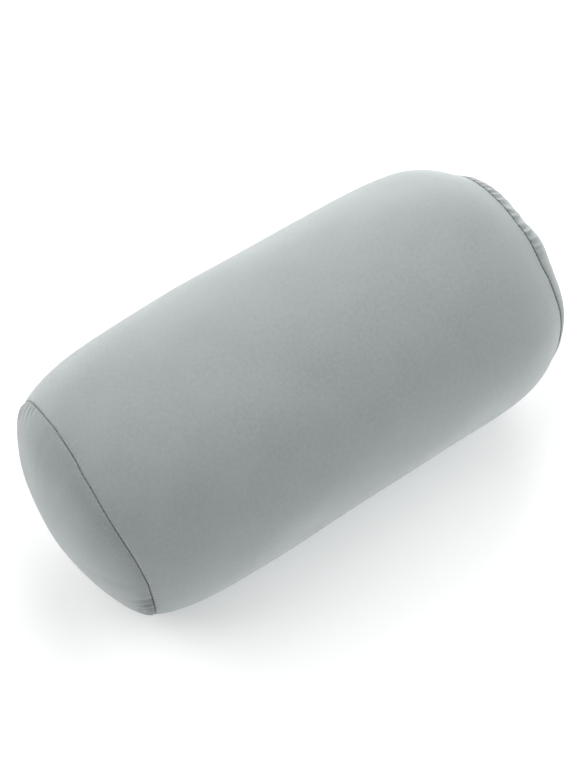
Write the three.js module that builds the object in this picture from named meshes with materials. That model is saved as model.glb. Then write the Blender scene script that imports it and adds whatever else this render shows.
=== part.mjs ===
// A roll pillow filled with microbeads, lying on its side as it is left on a table.
// It is a tube of stretch cloth with a round end panel sewn into each end. The beads fill
// it tight, so the tube swells between its seams, each end panel domes out, and the end
// panels gather where they are eased onto the tube.
// Millimetres, +Z up, X along the roll. The origin is on the table, under the middle.
import * as THREE from 'three';

// The whole roll
const crownRadius = 85.75; // at its fullest
const seamRadius = 72.5; // where an end panel meets the tube
const seamTuck = 1.6; // how deep the two edges turn in at a seam
const seamGap = 0.3; // between the two edges
const wanderHold = 5; // power by which only the tube's ends follow their seam's wandering

// How it lies. Angles run round the roll from the top, towards +Y, in degrees.
const settling = 4.5; // how far its own weight lowers the line between its ends
const contactEase = 1.5; // height over which the round side turns into the flat spot
const middleHeight = crownRadius - settling;
const bow = { size: 2, towards: 67 }; // of the middle of the roll, off that line

// How finely the surfaces are cut
const tubeColumns = 72;
const tubeRowsPerHalf = 14;
const plainStep = 3.75; // degrees round an end panel where it lies smooth
const gatherPitch = 5; // degrees from one gather to the next
const stepsPerGather = 4;
const domeRowTurns = [6, 14, 24, 36, 50, 64, 78]; // degrees from the seam to the pole
const faceRowShares = [0.6, 1]; // of the hidden face's radius

// The two ends. A seam wanders along +X: each wave has its number of turns round the
// roll, its size and the angle of a crest. A gather zone runs from one angle to another.
// Its ridges rise by the seam, trough to crest, and fade out over their reach.
const leftEnd = {
  name: 'end_panel_left',
  side: -1,
  seamAt: 148.2,
  dome: { depth: 26.4, squareness: 1.65 },
  shoulder: { flatness: 4.4, roundness: 0.75 },
  waves: [
    { turns: 1, size: 3, crest: -45 },
    { turns: 2, size: 1.25, crest: 22 },
    { turns: 3, size: 1.15, crest: 45 },
    { turns: 6, size: 0.5, crest: 0 },
  ],
  gathers: [
    { from: 30, to: 110, rise: 0.7, reach: 17 },
    { from: -140, to: -75, rise: 0.9, reach: 14 },
  ],
};
const rightEnd = {
  name: 'end_panel_right',
  side: 1,
  seamAt: 147.6,
  dome: { depth: 28, squareness: 1.65 },
  shoulder: { flatness: 9.6, roundness: 1.17 },
  waves: [
    { turns: 1, size: 2.2, crest: -66 },
    { turns: 2, size: 1.05, crest: -29 },
    { turns: 3, size: 0.95, crest: 24 },
    { turns: 6, size: 0.4, crest: 6 },
  ],
  gathers: [
    { from: -35, to: 70, rise: 0.8, reach: 12 },
    { from: 130, to: 165, rise: 0.6, reach: 10 },
  ],
};

const radians = THREE.MathUtils.degToRad;

// How far a seam lies along +X from its flat circle at one angle.
function seamWander(end, turn) {
  return end.waves.reduce(
    (sum, wave) => sum + wave.size * Math.cos(wave.turns * radians(turn - wave.crest)),
    0,
  );
}

// A height above the table once the filling has settled. What would reach below the
// table lies flat on it, and a short ease joins the flat spot to the round side.
function settled(height) {
  if (height <= -contactEase) return 0;
  if (height >= contactEase) return height;
  return (height + contactEase) ** 2 / (4 * contactEase);
}

// A point on the roll at a distance along it, a radius and an angle from the top.
function rollPoint(along, radius, turn) {
  const end = along < 0 ? leftEnd : rightEnd;
  const offLine = bow.size * Math.max(0, 1 - (along / end.seamAt) ** 2);
  const across = offLine * Math.sin(radians(bow.towards)) + radius * Math.sin(radians(turn));
  const rise = offLine * Math.cos(radians(bow.towards)) + radius * Math.cos(radians(turn));
  return [along, across, settled(middleHeight + rise)];
}

// A closed surface over rows of points that run once round the roll, from the -X end
// to the +X end, with one point that closes each end.
function closedSurface(firstPoint, rows, lastPoint) {
  const around = rows[0].length;
  const points = [firstPoint, ...rows.flat(), lastPoint];
  const lastRow = rows.length - 1;
  const index = (row, column) => 1 + row * around + (column % around);
  const faces = [];
  for (let column = 0; column < around; column++) {
    faces.push(0, index(0, column), index(0, column + 1));
    for (let row = 0; row < lastRow; row++) {
      const here = index(row, column);
      const beside = index(row, column + 1);
      const onward = index(row + 1, column);
      const across = index(row + 1, column + 1);
      faces.push(here, onward, across, here, across, beside);
    }
    faces.push(points.length - 1, index(lastRow, column + 1), index(lastRow, column));
  }
  const geometry = new THREE.BufferGeometry();
  geometry.setAttribute('position', new THREE.Float32BufferAttribute(points.flat(), 3));
  geometry.setIndex(faces);
  geometry.computeVertexNormals();
  return geometry;
}

// The hidden face behind a seam, from its centre out to its edge. Both faces of a seam
// are made by this, so that they keep their gap all over.
function seamFaceRows(end, offset, turns) {
  const edgeRadius = seamRadius - seamTuck;
  return faceRowShares.map((share) =>
    turns.map((turn) => {
      const wander = seamWander(end, turn) * share ** 2;
      return rollPoint(end.side * end.seamAt + offset + wander, edgeRadius * share, turn);
    }),
  );
}

// The tube's radius at a share of the way from the middle (0) to a seam (1).
function tubeRadius(end, share) {
  const { flatness, roundness } = end.shoulder;
  return seamRadius + (crownRadius - seamRadius) * (1 - share ** flatness) ** roundness;
}

function tubePanel() {
  const turns = Array.from({ length: tubeColumns }, (_, i) => (i * 360) / tubeColumns);
  const rows = [];
  for (let i = 1 - tubeRowsPerHalf; i < tubeRowsPerHalf; i++) {
    const end = i < 0 ? leftEnd : rightEnd;
    const share = Math.sin((Math.abs(i) / tubeRowsPerHalf) * (Math.PI / 2));
    rows.push(
      turns.map((turn) => {
        const wander = seamWander(end, turn) * share ** wanderHold;
        return rollPoint(end.side * end.seamAt * share + wander, tubeRadius(end, share), turn);
      }),
    );
  }
  const leftOffset = seamGap / 2;
  const rightOffset = -seamGap / 2;
  return closedSurface(
    [-leftEnd.seamAt + leftOffset, 0, middleHeight],
    [
      ...seamFaceRows(leftEnd, leftOffset, turns),
      ...rows,
      ...seamFaceRows(rightEnd, rightOffset, turns).reverse(),
    ],
    [rightEnd.seamAt + rightOffset, 0, middleHeight],
  );
}

// The angles at which an end panel is cut: close together through its gathers.
function endPanelTurns(end) {
  const gathered = (turn) => end.gathers.some((g) => turn >= g.from && turn < g.to);
  const turns = [];
  for (let turn = -180; turn < 180; ) {
    turns.push(turn);
    turn += gathered(turn) ? gatherPitch / stepsPerGather : plainStep;
  }
  return turns;
}

// How far the gathers lift an end panel at an angle and a distance in from the seam.
function gatherLift(end, turn, inward) {
  const zone = end.gathers.find((g) => turn >= g.from && turn <= g.to);
  if (!zone || inward >= zone.reach) return 0;
  const acrossZone = (turn - zone.from) / (zone.to - zone.from);
  const zoneFade = Math.sqrt(Math.sin(Math.PI * acrossZone));
  const reachFade = 1 - inward / zone.reach;
  const ridge = Math.cos((2 * Math.PI * (turn - zone.from)) / gatherPitch);
  return (zone.rise / 2) * ridge * zoneFade * reachFade;
}

function endPanel(end) {
  const turns = endPanelTurns(end);
  const { depth, squareness } = end.dome;
  const domeRows = domeRowTurns.map((domeTurn) => {
    const share = Math.cos(radians(domeTurn));
    const rise = depth * (1 - share ** squareness) ** (1 / squareness);
    const inward = Math.hypot(rise, seamRadius * (1 - share));
    return turns.map((turn) => {
      const lift = gatherLift(end, turn, inward);
      const liftAlong = lift * Math.sin(radians(domeTurn));
      const wander = seamWander(end, turn) * share ** 2;
      const along = end.side * (end.seamAt + rise + liftAlong) + wander;
      return rollPoint(along, (seamRadius + lift) * share, turn);
    });
  });
  const faceOffset = (end.side * seamGap) / 2;
  const rows = [...seamFaceRows(end, faceOffset, turns), ...domeRows];
  const faceCentre = [end.side * end.seamAt + faceOffset, 0, middleHeight];
  const pole = [end.side * (end.seamAt + depth), 0, middleHeight];
  return end.side > 0
    ? closedSurface(faceCentre, rows, pole)
    : closedSurface(pole, rows.reverse(), faceCentre);
}

// Polyamide and elastane jersey, a cool mid grey with a soft satin face
const jersey = new THREE.MeshStandardMaterial({ color: '#9aa2a2', roughness: 0.8, metalness: 0 });

function panelMesh(name, geometry) {
  const mesh = new THREE.Mesh(geometry, jersey.clone());
  mesh.name = name;
  return mesh;
}

const pillow = new THREE.Group();
pillow.add(panelMesh('tube_panel', tubePanel()));
for (const end of [leftEnd, rightEnd]) {
  pillow.add(panelMesh(end.name, endPanel(end)));
}

// The domes and gathers aren't alike at the two ends, so the roll is centred by its size.
const bounds = new THREE.Box3().setFromObject(pillow);
const centre = bounds.getCenter(new THREE.Vector3());
pillow.position.set(-centre.x, -centre.y, -bounds.min.z);

export default pillow;
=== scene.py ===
import math
import bpy
import numpy as np
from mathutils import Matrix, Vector


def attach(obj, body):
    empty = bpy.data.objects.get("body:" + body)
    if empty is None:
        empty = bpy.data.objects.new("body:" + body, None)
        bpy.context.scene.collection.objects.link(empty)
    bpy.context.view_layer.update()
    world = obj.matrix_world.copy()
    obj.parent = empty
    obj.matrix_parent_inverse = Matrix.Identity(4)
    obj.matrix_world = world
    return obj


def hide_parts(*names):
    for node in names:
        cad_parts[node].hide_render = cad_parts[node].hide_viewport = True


# A roll pillow of stretch jersey, filled tight with microbeads. Its three cloth panels
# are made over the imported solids, and the sewing thread lies in the two seams.
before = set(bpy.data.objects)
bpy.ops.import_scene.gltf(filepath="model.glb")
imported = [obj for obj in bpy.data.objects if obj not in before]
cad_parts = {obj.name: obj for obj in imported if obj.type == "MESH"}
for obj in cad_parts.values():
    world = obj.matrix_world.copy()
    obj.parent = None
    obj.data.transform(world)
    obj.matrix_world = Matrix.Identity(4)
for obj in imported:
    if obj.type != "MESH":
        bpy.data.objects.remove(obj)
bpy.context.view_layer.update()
scene = bpy.context.scene
mm = 0.001
print("frame loaded:", sorted(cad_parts))

# The roll, in millimetres and degrees. Angles run round it from the top, towards +Y.
roll = {
    "crownRadius": 85.75,   # at its fullest
    "seamRadius": 72.5,     # where an end panel meets the tube
    "settling": 4.5,        # how far its weight lowers the line between its ends
    "contactEase": 1.5,     # height over which the round side turns into the flat spot
    "bowSize": 2.0,         # of the middle of the roll, off that line
    "bowTowards": 67,
    "wanderHold": 5,        # power by which only the tube's ends follow a wandering seam
    "unevenness": 0.22,     # how far the beads push the cloth out, here and there
    "shift": (-0.5, -1.56, 0.0),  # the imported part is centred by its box
}
middleHeight = roll["crownRadius"] - roll["settling"]  # of the roll's line above the floor

# The two ends. A seam lies at seamAt from the roll's middle, and its panel domes out by
# domeDepth. A squareness of 2 gives an elliptical dome, and less a more pointed one. The
# higher the flatness, the nearer to the seam the tube stays full, and the lower the
# roundness, the more steeply it then meets the seam.
#
# A wave is (turns round the roll, size along +X, angle of a crest), and a nudge moves a
# short stretch of the seam: (angle, half its width, size along +X). Where the cloth is
# eased onto the tube it gathers into folds. Each fold is (angle at the seam, rise, reach
# from the seam, bend in degrees for each mm squared). A run of folds is (first angle,
# pitch, count, rise, reach). A tuck is a stretch of seam that is pulled in: (middle,
# half its width, how far in, how much further the panel beside it sinks). A swelling is
# (middle, half its width, rise, distance from the seam where it is fullest), and where
# the beads leave a panel slack, its rise is below 0.
leftEnd = {
    "name": "left", "side": -1, "seamAt": 148.2,
    "domeDepth": 25.7, "domeSquareness": 1.7,
    "shoulderFlatness": 4.4, "shoulderRoundness": 0.75,
    "waves": ((1, 3, -45), (2, 1.25, 22), (3, 1.15, 45), (6, 0.5, 0)),
    "nudges": ((17, 6, 0.3), (-10, 8, -0.4), (-69, 6, 0.35), (-96, 6, 0.2)),
    "tuck": (180, 1, 0, 0),  # none
    "swellings": ((-128, 55, -1.5, 48), (80, 28, -0.4, 14)),
    "folds": (
        (-93.5, 1.75, 13, -0.05),
        (-87.7, 1.9, 14, -0.05),
        (-83.3, 2.0, 17, -0.035),
        (-78.2, 1.0, 12, -0.02),
        (37.3, 0.55, 5, -0.1),
        (40.2, 0.8, 9, -0.02),
        (44.7, 0.9, 14, 0),
        (51.5, 1.0, 15, 0.008),
        (58.5, 1.0, 15, 0.01),
        (64.0, 1.4, 15, 0.015),
        (70.5, 1.8, 14, 0.03),
    ),
    "foldRuns": ((77.0, 6.0, 6, 0.8, 17), (-99.5, -5.0, 9, 1.5, 14)),
}
rightEnd = {
    "name": "right", "side": 1, "seamAt": 147.3,
    "domeDepth": 29, "domeSquareness": 1.58,
    "shoulderFlatness": 9.6, "shoulderRoundness": 1.17,
    "waves": ((1, 2.2, -66), (2, 1.05, -29), (3, 0.95, 24), (6, 0.4, 6)),
    "nudges": ((42, 40, 2.1), (-21, 10, 0.7), (-36, 7, -0.5), (-66, 18, 0.9)),
    "tuck": (50, 32, 4, 1.5),
    "swellings": ((-27, 20, 1.9, 19), (12, 14, 0.6, 12)),
    "folds": (
        (-29.0, 0.95, 12, 0),
        (-26.0, 1.1, 14, -0.01),
        (-22.5, 1.45, 17, 0),
        (-18.1, 1.7, 20, 0.01),
        (-14.1, 1.5, 18, 0),
        (-8.3, 1.9, 21, 0.01),
        (-4.2, 1.45, 17, -0.01),
        (2.4, 1.9, 21, 0.01),
        (6.7, 1.35, 18, 0.01),
        (10.3, 1.3, 19, 0),
        (14.5, 0.95, 16, 0.01),
        (17.5, 0.9, 17, 0.02),
    ),
    "foldRuns": ((22.0, 4.4, 11, 0.8, 16), (132.0, 4.8, 7, 0.9, 11)),
}

# Each seam is lockstitched, and the stitches pull both edges in a little.
seam = {
    "depth": 1.3,            # from the cloth down to the line of stitches
    "depthChange": 0.35,     # of that, shallower between two stitches
    "lip": 0.25,             # over which each edge rolls in
    "lipChange": 0.3,        # of that, wider at a stitch and narrower between two
    "gap": 0.3,              # between the two edges
    "stitches": 156,         # round one seam, 2.9 mm apart
    "puckerRise": 0.22,      # between two stitches
    "puckerReach": 2.6,      # from the seam
    "puckerEven": 0.75,      # share of the rise that all puckers have
    "puckerUneven": 0.35,    # share that changes round the seam
    "puckerWaves": 40,       # round the seam, at most, in that change
    "puckerClear": 3,        # power by which puckers stay off the line of stitches
    "fadePower": 1.5,        # by which lips and puckers fade out
}


def sineOf(degrees):
    return np.sin(np.radians(degrees))


def cosineOf(degrees):
    return np.cos(np.radians(degrees))


# How far one angle lies from another, the short way round.
def turnBetween(turn, other):
    return (turn - other + 180) % 360 - 180


# 1 at the middle of a stretch of angles, 0 from half its width on, and smooth between.
def nearness(turn, middle, halfWidth):
    share = np.clip(np.abs(turnBetween(turn, middle)) / halfWidth, 0, 1)
    return cosineOf(90 * share) ** 2


# How far a seam lies along +X from its flat circle.
def seamWander(end, turn):
    wander = sum(size * cosineOf(count * (turn - crest)) for count, size, crest in end["waves"])
    for middle, halfWidth, size in end["nudges"]:
        wander = wander + size * nearness(turn, middle, halfWidth)
    return wander


# How much of a seam's tuck there is at an angle: 1 at its middle, 0 past its ends.
def tuckShare(end, turn):
    middle, halfWidth = end["tuck"][:2]
    return nearness(turn, middle, halfWidth)


# What would reach below the floor lies flat on it.
def settled(height):
    ease = roll["contactEase"]
    eased = (height + ease) ** 2 / (4 * ease)
    return np.where(height <= -ease, 0, np.where(height >= ease, height, eased))


# Points on the roll, from their place along it, their radius and their angle.
def rollPoints(end, along, radius, turn):
    offLine = roll["bowSize"] * np.maximum(0, 1 - (along / end["seamAt"]) ** 2)
    across = offLine * sineOf(roll["bowTowards"]) + radius * sineOf(turn)
    rise = offLine * cosineOf(roll["bowTowards"]) + radius * cosineOf(turn)
    return np.stack(np.broadcast_arrays(along, across, settled(middleHeight + rise)), -1)


# Soft, irregular waves, about 1 high and the same on every run. Each part of them goes
# round the roll up to a most number of times, and has a length along it from a range.
def softWaves(seed, turn, most, along=0, lengths=(1, 1)):
    draw = np.random.default_rng(seed)
    total = 0
    parts = 16
    for _ in range(parts):
        count = draw.integers(1, most + 1)
        length = draw.uniform(*lengths)
        angle = draw.uniform(0, 2 * math.pi, 2)
        roundWave = np.sin(count * np.radians(turn) + angle[0])
        total = total + roundWave * np.sin(2 * math.pi * along / length + angle[1])
    return total * 2 / math.sqrt(parts)


# 1 at each stitch round the seam, and -1 halfway between two.
def stitchWave(turn):
    return np.cos(np.radians(turn) * seam["stitches"])


# 0 at each stitch, and 1 halfway between two.
def betweenStitches(turn):
    return 0.5 - 0.5 * stitchWave(turn)


# 1 on the seam, and next to nothing at twice the reach.
def fadeOut(distance, reach):
    return np.exp(-((distance / reach) ** seam["fadePower"]))


# How far both edges are pulled in at a distance from the seam: 1 on the line of stitches.
def lipShape(turn, distance):
    return fadeOut(distance, seam["lip"] * (1 + seam["lipChange"] * stitchWave(turn)))


def lipDepth(turn):
    return seam["depth"] * (1 - seam["depthChange"] * betweenStitches(turn))


# The small puckers between stitches, 0 at a stitch.
def puckers(turn, distance, seed):
    uneven = seam["puckerUneven"] * softWaves(seed, turn, seam["puckerWaves"])
    rise = seam["puckerRise"] * betweenStitches(turn) * (seam["puckerEven"] + uneven)
    clear = 1 - lipShape(turn, distance) ** seam["puckerClear"]
    return rise * fadeOut(distance, seam["puckerReach"]) * clear


# Each ring of a cloth has its points in columns, fine through puckers and gathers.
finePerPlain = 3
fineColumns = 9 * seam["stitches"]
plainColumns = fineColumns // finePerPlain


def turnsOf(columns):
    return np.arange(columns) * 360 / columns


# Distances from a seam that start close together and grow.
def growingSteps(first, growth, until):
    steps = [0.0]
    step = first
    while steps[-1] + step < until:
        steps.append(steps[-1] + step)
        step *= growth
    return steps


# The rings of a cloth, from its seam on: (distance from the seam, columns).
def ringSpots(cloth, until):
    fine = growingSteps(cloth["firstStep"], cloth["fineGrowth"], cloth["fineReach"])
    plain = growingSteps(cloth["plainStep"], cloth["plainGrowth"], until - fine[-1])
    spots = [(distance, fineColumns) for distance in fine]
    return spots + [(fine[-1] + distance, plainColumns) for distance in plain[1:]]


# A smooth piece from points in millimetres.
def newPiece(name, points, faces):
    mesh = bpy.data.meshes.new(name)
    mesh.from_pydata(((np.array(points) + roll["shift"]) * mm).tolist(), [], faces)
    mesh.polygons.foreach_set("use_smooth", [True] * len(mesh.polygons))
    mesh.update()
    piece = bpy.data.objects.new(name, mesh)
    scene.collection.objects.link(piece)
    return piece


# A closed cloth over rings of points, with a pole that closes each end. A fine ring joins
# a plain one with six-sided faces. clothAt gives the place in the flat cloth, in
# millimetres, of a ring's column, and a face at a pole has one such place all over.
def closedCloth(name, rings, clothAt, firstPole, lastPole):
    counts = [len(ring) for ring in rings]
    starts = np.cumsum([1, *counts]).tolist()
    faces = []
    corners = []

    def pointAt(ring, column):
        return starts[ring] + column % counts[ring]

    # Each spot is (ring, column).
    def addFace(*spots):
        faces.append([pointAt(*spot) for spot in spots])
        corners.extend(clothAt(*spot) for spot in spots)

    last = len(rings) - 1
    for column in range(counts[0]):
        faces.append((0, pointAt(0, column), pointAt(0, column + 1)))
        corners.extend([clothAt(0, column)] * 3)
    for ring in range(last):
        beyond = ring + 1
        for column in range(min(counts[ring], counts[beyond])):
            fine = [finePerPlain * column + k for k in range(finePerPlain + 1)]
            if counts[ring] > counts[beyond]:
                fineEdge = [(ring, k) for k in reversed(fine)]
                addFace(*fineEdge, (beyond, column), (beyond, column + 1))
            elif counts[ring] < counts[beyond]:
                fineEdge = [(beyond, k) for k in fine]
                addFace((ring, column), *fineEdge, (ring, column + 1))
            else:
                beside = column + 1
                addFace((ring, column), (beyond, column), (beyond, beside), (ring, beside))
    for column in range(counts[last]):
        faces.append((starts[-1], pointAt(last, column + 1), pointAt(last, column)))
        corners.extend([clothAt(last, column)] * 3)

    piece = newPiece(name, np.concatenate(([firstPole], *rings, [lastPole])), faces)
    layer = piece.data.uv_layers.new(name="cloth")
    layer.uv.foreach_set("vector", (np.array(corners, np.float32) * mm).ravel())
    piece.data.validate()
    return piece


# The tube

tubeCloth = {
    "firstStep": 0.12,      # between the first two rings at a seam
    "fineGrowth": 1.25,     # from each step to the next
    "fineReach": 6.5,       # from each seam, where its cloth puckers
    "plainStep": 1.7,
    "plainGrowth": 1.045,
    "tuckHold": 30,         # power by which only its very ends follow a tuck
    "fullness": 0.65,       # how far it stands fuller along one side
    "fullnessTowards": 63,
    "fullnessHold": 6,      # power by which that ends only near the seams
    "lumpWaves": 9,         # round the roll, at most
    "lumpLengths": (70, 190),  # along it
    "lumpStart": 30,        # from a seam, where the beads' lumps are full
    "lumpSeed": 5,
    "puckerSeed": 11,       # each end adds its side to it
    "fill": 0.95,
}


def tubeRadius(end, share):
    swell = (1 - share ** end["shoulderFlatness"]) ** end["shoulderRoundness"]
    return roll["seamRadius"] + (roll["crownRadius"] - roll["seamRadius"]) * swell


def tubeRing(end, distance, turn):
    share = 1 - distance / end["seamAt"]
    place = end["side"] * (end["seamAt"] - distance)
    lip = lipShape(turn, distance)
    along = place - end["side"] * seam["gap"] / 2 * lip
    along = along + seamWander(end, turn) * share ** roll["wanderHold"]
    tuck = end["tuck"][2] * tuckShare(end, turn) * share ** tubeCloth["tuckHold"]
    towards = np.maximum(0, cosineOf(turn - tubeCloth["fullnessTowards"])) ** 2
    fuller = tubeCloth["fullness"] * towards * (1 - share ** tubeCloth["fullnessHold"])
    lumps = softWaves(
        tubeCloth["lumpSeed"], turn, tubeCloth["lumpWaves"], place, tubeCloth["lumpLengths"]
    )
    lumps = roll["unevenness"] * lumps * min(1, distance / tubeCloth["lumpStart"])
    pucker = puckers(turn, distance, tubeCloth["puckerSeed"] + end["side"])
    radius = tubeRadius(end, share) - lipDepth(turn) * lip - tuck + pucker + fuller + lumps
    return rollPoints(end, along, radius, turn)


def makeTube():
    rings = []
    places = []
    for end in (leftEnd, rightEnd):
        spots = ringSpots(tubeCloth, end["seamAt"])[:: -end["side"]]
        rings += [tubeRing(end, distance, turnsOf(columns)) for distance, columns in spots]
        places += [end["side"] * (end["seamAt"] - distance) for distance, _ in spots]
    around = 2 * math.pi * roll["crownRadius"]

    def clothAt(ring, column):
        return (column / len(rings[ring]) * around, places[ring])

    poles = [
        (end["side"] * (end["seamAt"] - seam["gap"] / 2), 0, middleHeight)
        for end in (leftEnd, rightEnd)
    ]
    return closedCloth("roll_tube", rings, clothAt, *poles)


# The end panels

panelCloth = {
    "firstStep": 0.12,      # between the first two rings at the seam
    "fineGrowth": 1.13,     # from each step to the next
    "fineReach": 24,        # from the seam, past the longest gather
    "plainStep": 2.2,
    "plainGrowth": 1.06,
    "middleRadius": 9,      # inside which the rings lie at these shares of it
    "middleRings": (0.75, 0.5, 0.25),
    "middleEase": 0.24,     # share of the radius over which the middle is rounded off
    "sectionPoints": 4000,  # along the dome's section
    "lumpWaves": 5,         # round the roll, at most
    "lumpLengths": (50, 120),  # up the dome
    "lumpStart": 20,        # from the seam, where the beads' lumps are full
    "lumpFade": 4,          # power by which lumps and swellings end only at the middle
    "tuckHold": 3,          # power by which a tuck ends towards the middle
    "sinkHold": 4,          # and by which the sunken cloth beside it ends
    "sinkStart": 3,         # how high up the dome that cloth begins to sink
    "lumpSeed": 8,          # each end adds its side to the three seeds
    "puckerSeed": 21,
    "foldSeed": 31,
    "fill": 0.95,
}
fold = {
    "room": 8,              # degrees, the most that a fold takes up on each side
    "spread": 0.5,          # how much wider it gets up to its end
    "start": 0.7,           # from the seam
    "ridge": 0.28,          # half its ridge's width, as a share of its room
    "crease": 0.6,          # half the width of the hollow it stands in, as such a share
    "creaseDepth": 0.5,     # of that hollow, as a share of the rise
    "fade": 1.4,            # power by which it fades out up the dome
    "stray": 0.14,          # of a fold in a run, as a share of the pitch
    "uneven": 0.3,          # by which the rise and reach differ in a run
    "lean": 0.02,           # most bend of a fold in a run
    "runFade": 4,           # power by which a run gets low only at its end
}


# The dome's section from its seam to its pole, as radius, rise, way out and arc length.
def domeSection(end):
    share = np.cos(np.linspace(0, math.pi / 2, panelCloth["sectionPoints"]))
    ease = panelCloth["middleEase"]
    soft = np.sqrt(share ** 2 + ease ** 2) / math.hypot(1, ease)
    rise = (1 - soft ** end["domeSquareness"]) ** (1 / end["domeSquareness"])
    rise = rise * end["domeDepth"] / rise[-1]
    radius = roll["seamRadius"] * share
    arc = np.concatenate(([0], np.cumsum(np.hypot(np.diff(radius), np.diff(rise)))))
    return {
        "radius": radius,
        "rise": rise,
        "arc": arc,
        "out": np.gradient(rise, arc),
        "onward": -np.gradient(radius, arc),
    }


# All folds of an end, each with the room on its two sides, in degrees, at the end.
def foldsOf(end):
    draw = np.random.default_rng(panelCloth["foldSeed"] + end["side"])
    folds = list(end["folds"])
    for first, pitch, count, rise, reach in end["foldRuns"]:
        for k in range(count):
            shift, strength, length, lean = draw.uniform(-1, 1, 4)
            angle = first + pitch * (k + fold["stray"] * shift)
            runFade = 1 - (k / count) ** fold["runFade"]
            height = rise * (1 + fold["uneven"] * strength) * runFade
            far = reach * (1 + fold["uneven"] * length)
            folds.append((angle, height, far, fold["lean"] * lean))
    folds.sort()
    room = np.diff([angle for angle, *_ in folds])
    room = np.minimum([fold["room"], *room, fold["room"]], fold["room"])
    return [(*values, room[k], room[k + 1]) for k, values in enumerate(folds)]


# Each fold is a narrow ridge between two creases, which fades out up the dome.
def foldRise(folds, turn, distance):
    total = 0 * turn
    for angle, rise, reach, bend, before, after in folds:
        offset = turnBetween(turn, angle + bend * distance ** 2)
        spread = 1 + fold["spread"] * distance / reach
        apart = offset / np.where(offset < 0, before, after) / spread
        hollow = fold["creaseDepth"] * np.exp(-((apart / fold["crease"]) ** 2))
        ridge = np.exp(-((apart / fold["ridge"]) ** 2)) - hollow
        total = total + rise * ridge * max(0, 1 - (distance / reach) ** fold["fade"])
    return total * (1 - math.exp(-distance / fold["start"]))


def swellingRise(end, turn, distance):
    total = 0 * turn
    for middle, halfWidth, rise, fullest in end["swellings"]:
        outward = distance / fullest * math.exp(1 - distance / fullest)
        total = total + rise * nearness(turn, middle, halfWidth) * outward
    return total


def panelRing(end, section, folds, distance, turn):
    radius, rise, out, onward = (
        np.interp(distance, section["arc"], section[key])
        for key in ("radius", "rise", "out", "onward")
    )
    share = radius / roll["seamRadius"]
    lumps = softWaves(
        panelCloth["lumpSeed"] + end["side"], turn, panelCloth["lumpWaves"],
        distance, panelCloth["lumpLengths"],
    )
    lumps = roll["unevenness"] * lumps * min(1, distance / panelCloth["lumpStart"])
    uneven = swellingRise(end, turn, distance) + lumps
    middleFade = 1 - (1 - share ** 2) ** panelCloth["lumpFade"]  # or the middle has a point
    pucker = puckers(turn, distance, panelCloth["puckerSeed"] + end["side"])
    proud = foldRise(folds, turn, distance) + pucker + uneven * middleFade

    tuckIn, sinkIn = end["tuck"][2:]
    sinkShare = (1 - math.exp(-rise / panelCloth["sinkStart"])) * share ** panelCloth["sinkHold"]
    pulled = tuckIn * share ** panelCloth["tuckHold"] + sinkIn * sinkShare
    drawnIn = pulled * tuckShare(end, turn)
    lip = lipShape(turn, distance)
    along = end["side"] * (end["seamAt"] + seam["gap"] / 2 * lip + rise + onward * proud)
    along = along + seamWander(end, turn) * share ** 2
    return rollPoints(end, along, radius - lipDepth(turn) * lip + out * proud - drawnIn, turn)


def makeEndPanel(end):
    section = domeSection(end)
    folds = foldsOf(end)
    whole = section["arc"][-1]
    middleRadius = panelCloth["middleRadius"]
    spots = ringSpots(panelCloth, whole - middleRadius)
    spots += [(whole - middleRadius * share, plainColumns) for share in panelCloth["middleRings"]]
    spots = spots[:: end["side"]]
    rings = [
        panelRing(end, section, folds, distance, turnsOf(columns))
        for distance, columns in spots
    ]

    def clothAt(ring, column):
        distance, columns = spots[ring]
        turn = 2 * math.pi * column / columns
        return ((whole - distance) * math.sin(turn), (whole - distance) * math.cos(turn))

    facePole = (end["side"] * (end["seamAt"] + seam["gap"] / 2), 0, middleHeight)
    domePole = panelRing(end, section, folds, whole, np.zeros(1))[0]
    poles = (facePole, domePole)[:: end["side"]]
    return closedCloth("roll_end_" + end["name"], rings, clothAt, *poles)


# The sewing thread: one short bridge over the seam for each stitch

thread = {
    "thickness": 0.3,
    "reach": 0.75,          # of a bridge, to each side of the seam
    "sunk": 0.75,           # how far below the cloth the bridges lie
    "sag": 0.35,            # how much deeper their middle lies
    "slant": 0.5,           # degrees from the middle of a bridge to its end
    "sides": 6,
    "steps": 5,
}


def makeThread(end):
    points = []
    faces = []
    sides = thread["sides"]
    around = turnsOf(sides)
    lift = thread["thickness"] / 2 * sineOf(around)
    sideways = np.degrees(thread["thickness"] / 2 * cosineOf(around) / roll["seamRadius"])
    for middle in turnsOf(seam["stitches"]):
        start = len(points)
        for place in np.linspace(-1, 1, thread["steps"]):
            turn = middle + thread["slant"] * place
            sunk = thread["sunk"] + thread["sag"] * (1 - place ** 2)
            sunk = sunk + end["tuck"][2] * tuckShare(end, turn)
            along = end["side"] * (end["seamAt"] + thread["reach"] * place)
            along = along + seamWander(end, turn)
            radius = roll["seamRadius"] - sunk + lift
            points.extend(rollPoints(end, along, radius, turn + sideways))
        for ring in range(start, len(points) - sides, sides):
            for side in range(sides):
                a = ring + side
                b = ring + (side + 1) % sides
                faces.append((a, b, b + sides, a + sides)[:: end["side"]])  # so that it faces out
        faces.append(range(start, start + sides)[:: -end["side"]])
        faces.append(range(len(points) - sides, len(points))[:: end["side"]])
    return newPiece("seam_thread_" + end["name"], points, faces)


# Materials


def linear(hexColour):
    parts = [int(hexColour[i:i + 2], 16) / 255 for i in (1, 3, 5)]
    return (*(p / 12.92 if p <= 0.04045 else ((p + 0.055) / 1.055) ** 2.4 for p in parts), 1)


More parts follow.
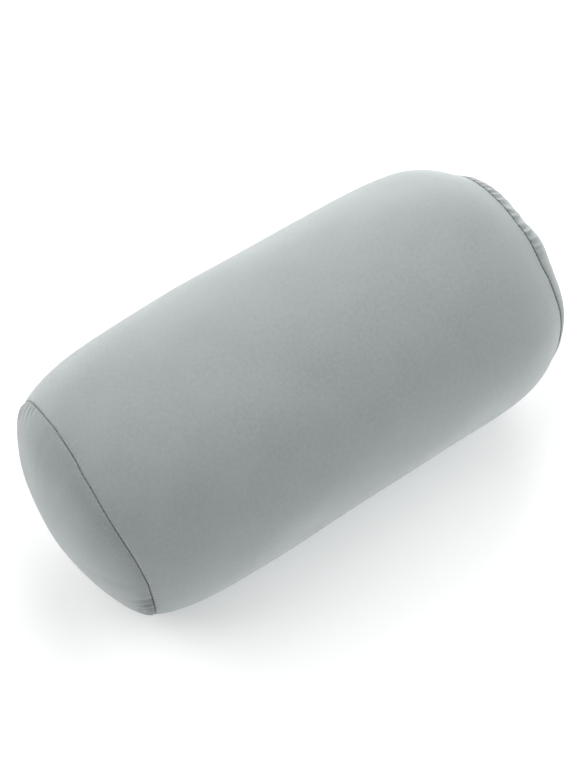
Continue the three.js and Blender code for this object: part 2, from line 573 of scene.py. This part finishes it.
# Adds a node. A setting is a property of the node. An input is a value, a socket, or a
# node that stands for its first output.
def addNode(tree, kind, inputs=None, **settings):
    node = tree.nodes.new(kind)
    for name, value in settings.items():
        setattr(node, name, value)
    for name, value in (inputs or {}).items():
        if isinstance(value, bpy.types.Node):
            value = value.outputs[0]
        if isinstance(value, bpy.types.NodeSocket):
            tree.links.new(value, node.inputs[name])
        else:
            node.inputs[name].default_value = value
    return node


def newMaterial(name):
    material = bpy.data.materials.new(name)
    material.use_nodes = True
    material.node_tree.nodes.clear()
    return material, material.node_tree


# Weft-knitted microfibre jersey, polyamide with elastane, piece-dyed a cool mid grey. The
# fine filaments give a smooth satin face that turns pale where it is seen aslant. The
# rounds are stretched both ways and have a thinner bloom. Their colour is painted a
# little darker than the tube's, as painted shade on the end panels.
jersey = {
    "colour": "#828b8c",
    "paleColour": "#a2a7a7",    # where the knit is stretched a little thinner
    # Darker copies of the two colours above: painted shade on the end panels.
    "endShadedColour": "#7c8586",
    "endPaleShadedColour": "#9ba0a0",
    "roughness": 0.5,
    "ior": 1.53,                # polyamide
    "sheen": 1.0,
    "endSheen": 0.7,
    "sheenRoughness": 0.5,
    "sheenTint": "#eef4f4",
    # The knit is drawn three times as coarse as it is, or it wouldn't show.
    "wale": 1.1,                # mm between columns of stitches
    "course": 0.85,             # mm between rows
    "legSlant": 1.2,            # rows that a stitch's legs climb in one column's width
    "grooves": 0.6,             # depth of the grooves beside the legs, against the legs' own
    "knitDepth": 0.06,          # mm
    "knitStrength": 0.6,
    "yarnPatch": 2.2,           # mm, where the yarn took up more or less dye
    "yarnShare": 0.6,           # of the change in colour, the rest is in the soft patches
    "cloudSize": 30,            # mm across the soft patches of paler cloth
    "creaseDepth": 0.16,        # mm, of the faint shallow ripples in the stretched cloth
    "creaseSize": 14,           # mm
}


def makeJersey(name, darkColour, paleColour, sheen):
    material, tree = newMaterial(name)
    flatCloth = addNode(tree, "ShaderNodeUVMap", uv_map="cloth")
    place = addNode(tree, "ShaderNodeSeparateXYZ", {"Vector": flatCloth})

    # The face of the knit: each column of stitches is two slanted legs.
    wales = addNode(tree, "ShaderNodeMath", {
        0: place.outputs["X"],
        1: 1 / (jersey["wale"] * mm),
    }, operation="MULTIPLY")
    courses = addNode(tree, "ShaderNodeMath", {
        0: place.outputs["Y"],
        1: 1 / (jersey["course"] * mm),
    }, operation="MULTIPLY")
    across = addNode(tree, "ShaderNodeMath", {0: wales, 1: 0.5}, operation="PINGPONG")
    climb = addNode(tree, "ShaderNodeMath", {
        0: across,
        1: jersey["legSlant"],
        2: courses,
    }, operation="MULTIPLY_ADD")
    legTurns = addNode(tree, "ShaderNodeMath", {0: climb, 1: 2 * math.pi}, operation="MULTIPLY")
    legs = addNode(tree, "ShaderNodeMath", {0: legTurns}, operation="SINE")
    grooveTurns = addNode(tree, "ShaderNodeMath", {0: across, 1: 4 * math.pi}, operation="MULTIPLY")
    grooves = addNode(tree, "ShaderNodeMath", {0: grooveTurns}, operation="COSINE")
    knit = addNode(tree, "ShaderNodeMath", {
        0: grooves,
        1: -jersey["grooves"],
        2: legs,
    }, operation="MULTIPLY_ADD")

    # Soft patches and shallow ripples of cloth that is stretched over beads.
    clouds = addNode(tree, "ShaderNodeTexNoise", {
        "Vector": flatCloth,
        "Scale": 1 / (jersey["cloudSize"] * mm),
        "Detail": 2.0,
        "Roughness": 0.5,
    })
    ripples = addNode(tree, "ShaderNodeTexNoise", {
        "Vector": flatCloth,
        "Scale": 1 / (jersey["creaseSize"] * mm),
        "Detail": 1.0,
        "Roughness": 0.4,
    })
    yarn = addNode(tree, "ShaderNodeTexNoise", {
        "Vector": flatCloth,
        "Scale": 1 / (jersey["yarnPatch"] * mm),
        "Detail": 1.0,
        "Roughness": 0.6,
    })
    patches = addNode(tree, "ShaderNodeMix", {
        0: jersey["yarnShare"],
        2: clouds,
        3: yarn,
    }, data_type="FLOAT")
    colour = addNode(tree, "ShaderNodeMix", {
        0: patches,
        6: linear(darkColour),
        7: linear(paleColour),
    }, data_type="RGBA")

    soft = addNode(tree, "ShaderNodeBump", {
        "Height": ripples,
        "Distance": jersey["creaseDepth"] * mm,
        "Strength": 1.0,
    })
    fine = addNode(tree, "ShaderNodeBump", {
        "Height": knit,
        "Distance": jersey["knitDepth"] * mm,
        "Strength": jersey["knitStrength"],
        "Normal": soft,
    })
    shader = addNode(tree, "ShaderNodeBsdfPrincipled", {
        "Base Color": colour.outputs[2],
        "Roughness": jersey["roughness"],
        "IOR": jersey["ior"],
        "Sheen Weight": sheen,
        "Sheen Roughness": jersey["sheenRoughness"],
        "Sheen Tint": linear(jersey["sheenTint"]),
        "Normal": fine,
    })
    addNode(tree, "ShaderNodeOutputMaterial", {"Surface": shader})
    return material


# Spun polyester sewing thread, twisted from two plies and dyed to match: a dull, slightly
# darker line.
sewingThread = {
    "colour": "#7f8787",
    "roughness": 0.75,
    "ior": 1.57,                # polyester
    "twist": 1.885,             # mm along the thread from one ply to the next
    "plyDepth": 0.03,           # mm
}


def makeSewingThread():
    material, tree = newMaterial("polyester_thread_spun")
    spot = addNode(tree, "ShaderNodeTexCoord").outputs["Object"]
    plies = addNode(tree, "ShaderNodeTexWave", {
        "Vector": spot,
        "Scale": 2 * math.pi / 10 / (sewingThread["twist"] * mm),  # a unit holds 10 radians
    }, bands_direction="DIAGONAL")
    bump = addNode(tree, "ShaderNodeBump", {
        "Height": plies.outputs["Fac"],
        "Distance": sewingThread["plyDepth"] * mm,
    })
    shader = addNode(tree, "ShaderNodeBsdfPrincipled", {
        "Base Color": linear(sewingThread["colour"]),
        "Roughness": sewingThread["roughness"],
        "IOR": sewingThread["ior"],
        "Normal": bump,
    })
    addNode(tree, "ShaderNodeOutputMaterial", {"Surface": shader})
    return material


# The pieces, on the frame's one body

tubeJersey = makeJersey(
    "polyamide_jersey_knitted", jersey["colour"], jersey["paleColour"], jersey["sheen"]
)
# The end panels' jersey, whose darker colour is painted shade.
shadedEndJersey = makeJersey(
    "polyamide_jersey_painted_shade", jersey["endShadedColour"], jersey["endPaleShadedColour"], jersey["endSheen"]
)
threadMaterial = makeSewingThread()

cloth = [
    (makeTube(), tubeJersey, "tube_panel", "tube_jersey", tubeCloth["fill"]),
    (makeEndPanel(leftEnd), shadedEndJersey, "end_panel_left", "end_jersey", panelCloth["fill"]),
    (makeEndPanel(rightEnd), shadedEndJersey, "end_panel_right", "end_jersey", panelCloth["fill"]),
]
for piece, material, node, slotName, fill in cloth:
    piece.data.materials.append(material)
    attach(piece, "root")
    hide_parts(node)
    print("cloth made:", piece.name, len(piece.data.polygons), "faces")

for end in (leftEnd, rightEnd):
    stitches = makeThread(end)
    stitches.data.materials.append(threadMaterial)
    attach(stitches, "root")
    print("thread made:", stitches.name)


# Floor, room, lights and camera

studio = {
    "floorRadius": 5.0,
    "floorCorners": 96,
    "floorColour": "#f4f5f5",
    "floorRoughness": 0.9,
    "floorShine": 0.2,
    # The floor's glow is painted light: the card glows, least by the roll.
    "floorGlow": 0.29,        # by the roll
    "farGlow": 0.87,          # where the floor meets the walls
    "glowGrows": (0.7, 2.2),  # metres from the middle
    "roomColour": "#ffffff",
    "roomLight": 0.05,        # from above
    "horizonLight": 0.65,     # from the pale walls, all round
    "wallHeight": (0.05, 0.2),  # sine of the elevation where they begin and end to fade
    "backdrop": 0.86,         # how bright the walls look
    "lightDistance": 1.8,
    "lightSize": 1.2,
    "aimHeight": 0.08,        # the lights shine at the middle of the roll
    # Each light is (name, azimuth and elevation it shines from, watts).
    "lights": (
        ("back_softbox", 145, 38, 12.5),
        ("back_low_softbox", 145, 12, 6.2),
        ("left_softbox", 235, 38, 6.0),
        ("left_high_softbox", 235, 64, 13.6),
        ("right_softbox", 55, 38, 8.4),
        ("right_high_softbox", 55, 64, 9.6),
    ),
}


def directionFrom(azimuth, elevation):
    a = math.radians(azimuth)
    e = math.radians(elevation)
    return Vector((math.sin(a) * math.cos(e), -math.cos(a) * math.cos(e), math.sin(e)))


# Coated card, pressed smooth and matt, without a gloss. It glows as painted light, weakest by
# the roll and strongest far off, so that it looks pale all round and lights the roll from below.
def makeFloor():
    rim = [
        (studio["floorRadius"] * cosineOf(turn), studio["floorRadius"] * sineOf(turn), 0)
        for turn in turnsOf(studio["floorCorners"])
    ]
    mesh = bpy.data.meshes.new("floor")
    mesh.from_pydata(rim, [], [range(len(rim))])
    floor = bpy.data.objects.new("floor", mesh)
    scene.collection.objects.link(floor)
    material, tree = newMaterial("card_matt_white_painted_glow")
    spot = addNode(tree, "ShaderNodeTexCoord").outputs["Object"]
    away = addNode(tree, "ShaderNodeVectorMath", {0: spot}, operation="LENGTH")
    glow = addNode(tree, "ShaderNodeMapRange", {
        "Value": away.outputs["Value"],
        "From Min": studio["glowGrows"][0],
        "From Max": studio["glowGrows"][1],
        "To Min": studio["floorGlow"],
        "To Max": studio["farGlow"],
    }, interpolation_type="SMOOTHSTEP")
    shader = addNode(tree, "ShaderNodeBsdfPrincipled", {
        "Base Color": linear(studio["floorColour"]),
        "Roughness": studio["floorRoughness"],
        "Specular IOR Level": studio["floorShine"],
        "Emission Color": linear(studio["floorColour"]),
        "Emission Strength": glow,
    })
    addNode(tree, "ShaderNodeOutputMaterial", {"Surface": shader})
    mesh.materials.append(material)


# A room whose pale walls light the roll from all round, and look even to the camera.
def makeRoom():
    world = bpy.data.worlds.new("pale_room")
    world.use_nodes = True
    room = world.node_tree
    skyward = addNode(room, "ShaderNodeTexCoord").outputs["Generated"]
    height = addNode(room, "ShaderNodeSeparateXYZ", {0: skyward}).outputs["Z"]
    wallLight = addNode(room, "ShaderNodeMapRange", {
        "Value": height,
        "From Min": studio["wallHeight"][0],
        "From Max": studio["wallHeight"][1],
        "To Min": studio["horizonLight"],
        "To Max": studio["roomLight"],
    }, interpolation_type="SMOOTHSTEP")
    seen = addNode(room, "ShaderNodeLightPath").outputs["Is Camera Ray"]
    brightness = addNode(room, "ShaderNodeMix", {
        0: seen,
        2: wallLight,
        3: studio["backdrop"],
    }, data_type="FLOAT")
    background = room.nodes["Background"]
    background.inputs["Color"].default_value = linear(studio["roomColour"])
    room.links.new(brightness.outputs[0], background.inputs["Strength"])
    scene.world = world


def makeLights():
    for name, azimuth, elevation, watts in studio["lights"]:
        lamp = bpy.data.lights.new(name, "AREA")
        lamp.shape = "DISK"
        lamp.size = studio["lightSize"]
        lamp.energy = watts
        holder = bpy.data.objects.new(name, lamp)
        holder.visible_camera = False
        scene.collection.objects.link(holder)
        direction = directionFrom(azimuth, elevation)
        holder.location = direction * studio["lightDistance"] + Vector((0, 0, studio["aimHeight"]))
        holder.rotation_mode = "QUATERNION"
        holder.rotation_quaternion = direction.to_track_quat("Z", "Y")


# The photograph's view: 576 by 768 pixels, with the roll's middle at this place in it.
picture = {
    "width": 576,
    "height": 768,
    "middleAt": (296.1, 384.1),
    "azimuth": -35.0,
    "elevation": 62.3,
    "distance": 0.745,
    "focalPixels": 1197.5,
    "sensorWidth": 36,
}


def makeCamera():
    data = bpy.data.cameras.new("camera")
    data.sensor_width = picture["sensorWidth"]
    data.lens = picture["focalPixels"] / picture["height"] * picture["sensorWidth"]
    camera = bpy.data.objects.new("camera", data)
    scene.collection.objects.link(camera)
    middle = (Vector(roll["shift"]) + Vector((0, 0, middleHeight))) * mm
    back = directionFrom(picture["azimuth"], picture["elevation"])
    right = directionFrom(picture["azimuth"] + 90, 0)
    up = back.cross(right)
    perPixel = picture["distance"] / picture["focalPixels"]
    aside = (picture["middleAt"][0] - picture["width"] / 2) * perPixel
    below = (picture["middleAt"][1] - picture["height"] / 2) * perPixel
    camera.location = middle + back * picture["distance"]
    aim = middle - right * aside + up * below
    camera.rotation_mode = "QUATERNION"
    camera.rotation_quaternion = (aim - camera.location).to_track_quat("-Z", "Y")
    scene.camera = camera


makeFloor()
makeRoom()
makeLights()
makeCamera()
scene.view_settings.view_transform = "Standard"
print("studio ready")
